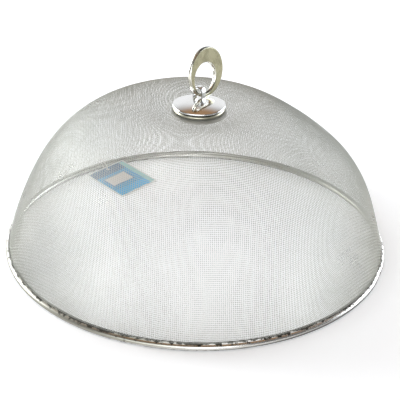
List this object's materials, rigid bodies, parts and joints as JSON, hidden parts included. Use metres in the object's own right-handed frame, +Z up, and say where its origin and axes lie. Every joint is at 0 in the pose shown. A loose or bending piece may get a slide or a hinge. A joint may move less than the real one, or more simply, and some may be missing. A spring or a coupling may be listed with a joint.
{
  "type": "mesh food cover",
  "caption": "Domed woven-wire food cover with a rolled wire-cored rim, a chromed knob cup and a swinging flat ring pull, and a card tied inside the mesh.",
  "frame": {"origin": "on the table, at the centre of the rim", "axes": "+Z up along the dome's axis; +Y away from the viewer of the picture; +X to that viewer's right"},
  "size_m": [0.35, 0.35, 0.1851],
  "materials": {
    "woven_wire": "bright drawn stainless wire",
    "bright_strip": "polished stainless strip",
    "plain_steel": "plain pressed steel",
    "chrome": "mirror chrome plating",
    "ring_plating": "warm polished plating",
    "blue_card": "printed laminated card, satin",
    "thread": "twisted white thread"
  },
  "bodies": {
    "cover": {"mesh_dome": "woven_wire", "rim_bead": "bright_strip", "rim_core_wire": "plain_steel", "knob_cup": "chrome", "ring_strap": "chrome", "backing_disc": "plain_steel", "clinch_washer": "plain_steel", "tag_tie": "thread"},
    "ring": {"pull_ring": "ring_plating"},
    "tag": {"tag_card": "blue_card"}
  },
  "joints": [
    {"name": "ring_swing", "type": "hinge", "parent": "cover", "child": "ring", "pos_m": [0, 0, 0.14549], "axis": [0.6293, 0.7771, 0], "range_deg": [-98, 110]},
    {"name": "tag_swing", "type": "hinge", "parent": "cover", "child": "tag", "pos_m": [-0.09383, 0.12588, 0.0055], "axis": [-0.66, -0.7513, 0], "range_deg": [-40, 50]}
  ]
}
